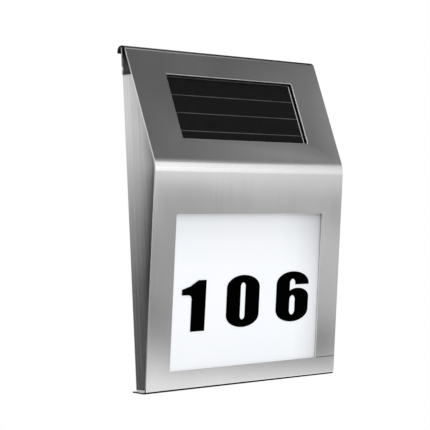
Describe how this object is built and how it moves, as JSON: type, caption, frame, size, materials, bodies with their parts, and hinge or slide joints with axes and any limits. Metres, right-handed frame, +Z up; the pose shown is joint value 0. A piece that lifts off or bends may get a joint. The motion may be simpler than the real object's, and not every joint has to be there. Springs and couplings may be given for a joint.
{
  "type": "illuminated house number sign",
  "caption": "Solar house number sign: a bent stainless hood with a lit opal number panel hangs on a stainless back plate and swings out at the foot.",
  "frame": {"origin": "centre of the four wall screws, on the wall", "axes": "+X to the right as the sign is read, +Y into the wall, +Z up"},
  "size_m": [0.18, 0.028, 0.2],
  "materials": {
    "stainless": "brushed",
    "fasteners": "satin",
    "housing_plastic": "matt",
    "solar_laminate": "gloss",
    "solar_cells": "gloss",
    "ribbon": "satin",
    "foam": "matt",
    "opal_panel": "satin",
    "numerals": "matt",
    "board": "satin",
    "led_epoxy": "gloss",
    "reflector": "matt",
    "battery_sleeve": "gloss",
    "contacts": "nickel plated",
    "component_black": "matt",
    "capacitor_can": "satin",
    "lead_red": "satin",
    "lead_black": "satin"
  },
  "bodies": {
    "back_plate": {"back_plate": "stainless", "lock_screws": "fasteners", "lock_nuts": "fasteners"},
    "hood": {"front_hood": "stainless", "housing_studs": "fasteners", "stud_nuts": "fasteners", "lamp_housing": "housing_plastic", "solar_board": "solar_laminate", "solar_cells": "solar_cells", "solar_ribbons": "ribbon", "solar_seal": "foam", "number_panel": "opal_panel", "number_panel_seal": "foam", "numeral_one": "numerals", "numeral_zero": "numerals", "numeral_six": "numerals", "led_board": "board", "leds": "led_epoxy", "reflector_sheet": "reflector", "battery_cell": "battery_sleeve", "contact_plate": "contacts", "contact_spring": "contacts", "control_board": "board", "board_screws": "fasteners", "controller_chip": "component_black", "inductor": "component_black", "capacitors": "capacitor_can", "switch_body": "component_black", "solar_lead_red": "lead_red", "solar_lead_black": "lead_black", "led_lead_red": "lead_red", "led_lead_black": "lead_black", "battery_lead_red": "lead_red", "battery_lead_black": "lead_black"},
    "battery_door": {"battery_door": "housing_plastic"},
    "switch_knob": {"switch_knob": "component_black"}
  },
  "joints": [
    {"name": "hood_swing", "type": "hinge", "parent": "back_plate", "child": "hood", "pos_m": [0, -0.00582, 0.0967], "axis": [-1, 0, 0], "range_deg": [0, 30]},
    {"name": "battery_door_slide", "type": "slide", "parent": "hood", "child": "battery_door", "axis": [1, 0, 0], "range_m": [0, 0.008]},
    {"name": "switch_slide", "type": "slide", "parent": "hood", "child": "switch_knob", "axis": [1, 0, 0], "range_m": [0, 0.002]}
  ]
}
